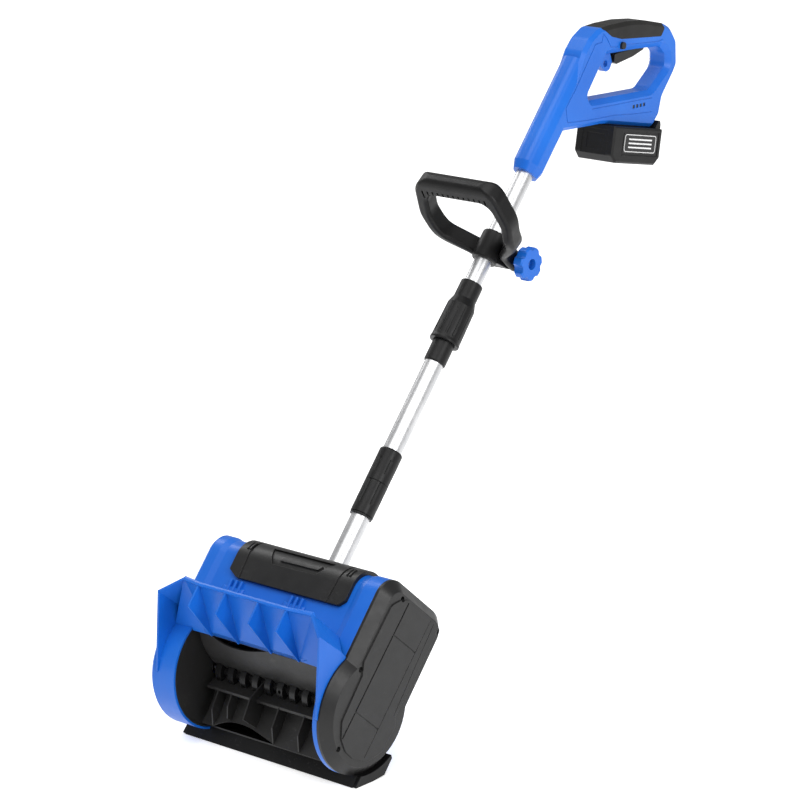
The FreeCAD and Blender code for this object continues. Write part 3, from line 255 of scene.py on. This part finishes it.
MATERIAL_OF = {node: material for material, names in FINISHES for node in names.split()}
for name, node in NODES.items():
    if not node.material_slots:
        node.data.materials.append(MATERIAL_OF[name])
    for entry in node.material_slots:
        entry.material = MATERIAL_OF[name]


# ---------------------------------------------------------------- pieces
def direction_of(joint):
    """The axis of a slide in the record, as a vector."""
    joints = frame["record"]["behaviour"]["joints"]
    return Vector(next(entry["axis"] for entry in joints if entry["name"] == joint))


def printed(name, node, outlines, thickness, material, along):
    """Flat printed shapes on the right-hand face of a node.

    The outlines are (along, up) points in millimetres from the face's middle, each with an optional hole.
    """
    low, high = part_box(node)
    centre = Vector((high[0], (low[1] + high[1]) / 2, (low[2] + high[2]) / 2))
    up = Vector((1, 0, 0)).cross(along)
    work = bmesh.new()
    for outer, inner in outlines:
        rings = [[work.verts.new(centre + (along * a + up * u) * MM) for a, u in points]
                 for points in (outer, inner) if points]
        if inner:
            first, second = rings
            for i in range(len(first)):
                j = (i + 1) % len(first)
                work.faces.new((first[i], first[j], second[j], second[i]))
        else:
            work.faces.new(rings[0])
    raised = bmesh.ops.extrude_face_region(work, geom=list(work.faces))
    for vert in [item for item in raised["geom"] if isinstance(item, bmesh.types.BMVert)]:
        vert.co.x += thickness * MM
    bmesh.ops.recalc_face_normals(work, faces=work.faces)
    mesh = bpy.data.meshes.new(name)
    work.to_mesh(mesh)
    work.free()
    mesh.materials.append(material)
    piece = bpy.data.objects.new(name, mesh)
    bpy.context.scene.collection.objects.link(piece)
    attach(piece, BODY_OF[node])


def round_rect(half_long, half_tall, radius, steps=6):
    """Outline of a rectangle with round corners, centred on the origin."""
    points = []
    for quarter, (side, end) in enumerate(((1, 1), (-1, 1), (-1, -1), (1, -1))):
        for i in range(steps + 1):
            angle = math.radians(90.0 * (quarter + i / steps))
            points.append((side * (half_long - radius) + radius * math.cos(angle),
                           end * (half_tall - radius) + radius * math.sin(angle)))
    return points


def bar(level):
    """Outline of a plain printed bar, given the height of its lower edge."""
    top = level + BAR_TALL
    return [(-BAR_HALF, level), (BAR_HALF, level), (BAR_HALF, top), (-BAR_HALF, top)]


border = (round_rect(LABEL_HALF_LONG, LABEL_HALF_TALL, LABEL_RADIUS),
          round_rect(LABEL_HALF_LONG - LABEL_BORDER, LABEL_HALF_TALL - LABEL_BORDER, LABEL_INNER_RADIUS))
marks = [border] + [(bar(level), None) for level in BAR_LEVELS]
printed("label_print", "battery_label", marks, PRINT_THICKNESS, print_white, direction_of("battery_slide"))

# ---------------------------------------------------------------- stage, light and camera
floor_mesh = bpy.data.meshes.new("floor")
floor_corners = [(x * FLOOR_HALF, y * FLOOR_HALF, 0.0) for x, y in ((-1, -1), (1, -1), (1, 1), (-1, 1))]
floor_mesh.from_pydata(floor_corners, [], [(0, 1, 2, 3)])
floor = bpy.data.objects.new("floor", floor_mesh)
floor.location = (0.0, 0.0, -FLOOR_GAP)
bpy.context.scene.collection.objects.link(floor)
pale = Shader("floor_pale", roughness=0.7, specular=0.2)
pale.bsdf.inputs["Emission Color"].default_value = (1.0, 1.0, 1.0, 1.0)
pale.bsdf.inputs["Emission Strength"].default_value = FLOOR_GLOW
pale.colour(pale.blend(pale.noise(3.0), (0.89, 0.89, 0.89), (0.92, 0.92, 0.92)))
floor_mesh.materials.append(pale.material)

world = bpy.data.worlds.new("studio")
bpy.context.scene.world = world
world.use_nodes = True
background = world.node_tree.nodes["Background"]
background.inputs["Color"].default_value = (1.0, 1.0, 1.0, 1.0)
background.inputs["Strength"].default_value = WORLD_STRENGTH
bpy.context.scene.view_settings.view_transform = "Standard"


def aimed(name, data, place, target):
    """A lamp or a camera at a place, looking at a target."""
    made = bpy.data.objects.new(name, data)
    made.location = place
    made.rotation_euler = (Vector(target) - Vector(place)).to_track_quat("-Z", "Y").to_euler()
    bpy.context.scene.collection.objects.link(made)
    return made


def area_light(name, place, size, power):
    """A soft rectangular lamp that faces the object."""
    data = bpy.data.lights.new(name, "AREA")
    data.shape = "RECTANGLE"
    data.size, data.size_y = size
    data.energy = power
    aimed(name, data, place, LIGHT_TARGET)


sky = bpy.data.lights.new("sky", "SUN")
sky.energy = SKY_STRENGTH
sky.angle = math.radians(SKY_SPREAD)
aimed("sky", sky, SKY_PLACE, (0.0, 0.0, 0.0))
area_light("key", KEY_PLACE, KEY_SIZE, KEY_POWER)
area_light("side", SIDE_PLACE, SIDE_SIZE, SIDE_POWER)

camera_data = bpy.data.cameras.new("camera")
camera_data.lens = CAMERA_LENS
camera_data.sensor_width = SENSOR_WIDTH
bpy.context.scene.camera = aimed("camera", camera_data, CAMERA_PLACE, CAMERA_TARGET)
